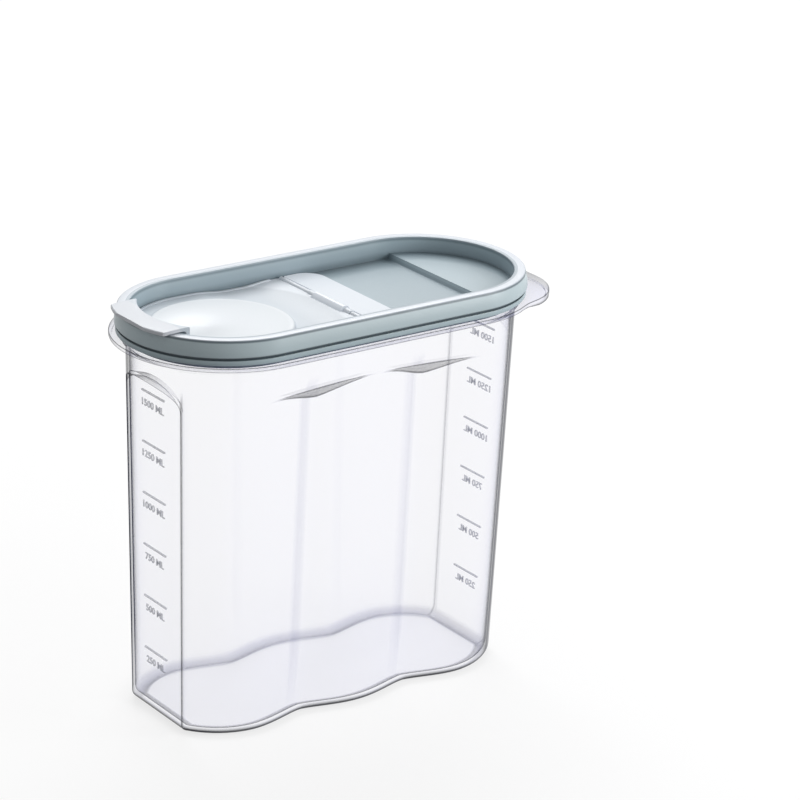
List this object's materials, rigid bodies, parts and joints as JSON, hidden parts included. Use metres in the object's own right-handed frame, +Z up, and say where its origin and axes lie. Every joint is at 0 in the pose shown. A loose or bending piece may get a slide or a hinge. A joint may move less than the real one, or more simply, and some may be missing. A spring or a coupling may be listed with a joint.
{
  "type": "cereal container with flip spout",
  "caption": "Clear round-ended storage container with fluted sides, a rim flange and lift tab, and a lid with a hinged flap over a round pour opening.",
  "frame": {"origin": "centre of the flat base that the container stands on, midway between the axes of its two round ends", "axes": "+Z up out of the mouth, +X along the length towards the lift tab, so the flap pours at -X, and +Y across to complete a right-handed frame"},
  "size_m": [0.2029, 0.0932, 0.1809],
  "materials": {
    "clear": "clear, gloss",
    "lid": "grey-blue, fine satin",
    "seal": "soft, matte",
    "white": "translucent white, soft gloss"
  },
  "bodies": {
    "container": {"container": "clear"},
    "lid": {"lid": "lid", "lid_seal": "seal", "hinge_plate": "white"},
    "flap": {"flap": "white"}
  },
  "joints": [
    {"name": "lid_lift", "type": "slide", "parent": "container", "child": "lid", "axis": [0, 0, 1], "range_m": [0, 0.03]},
    {"name": "flap_hinge", "type": "hinge", "parent": "lid", "child": "flap", "pos_m": [0.0029, 0, 0.1699], "axis": [0, 1, 0], "range_deg": [0, 135]}
  ]
}
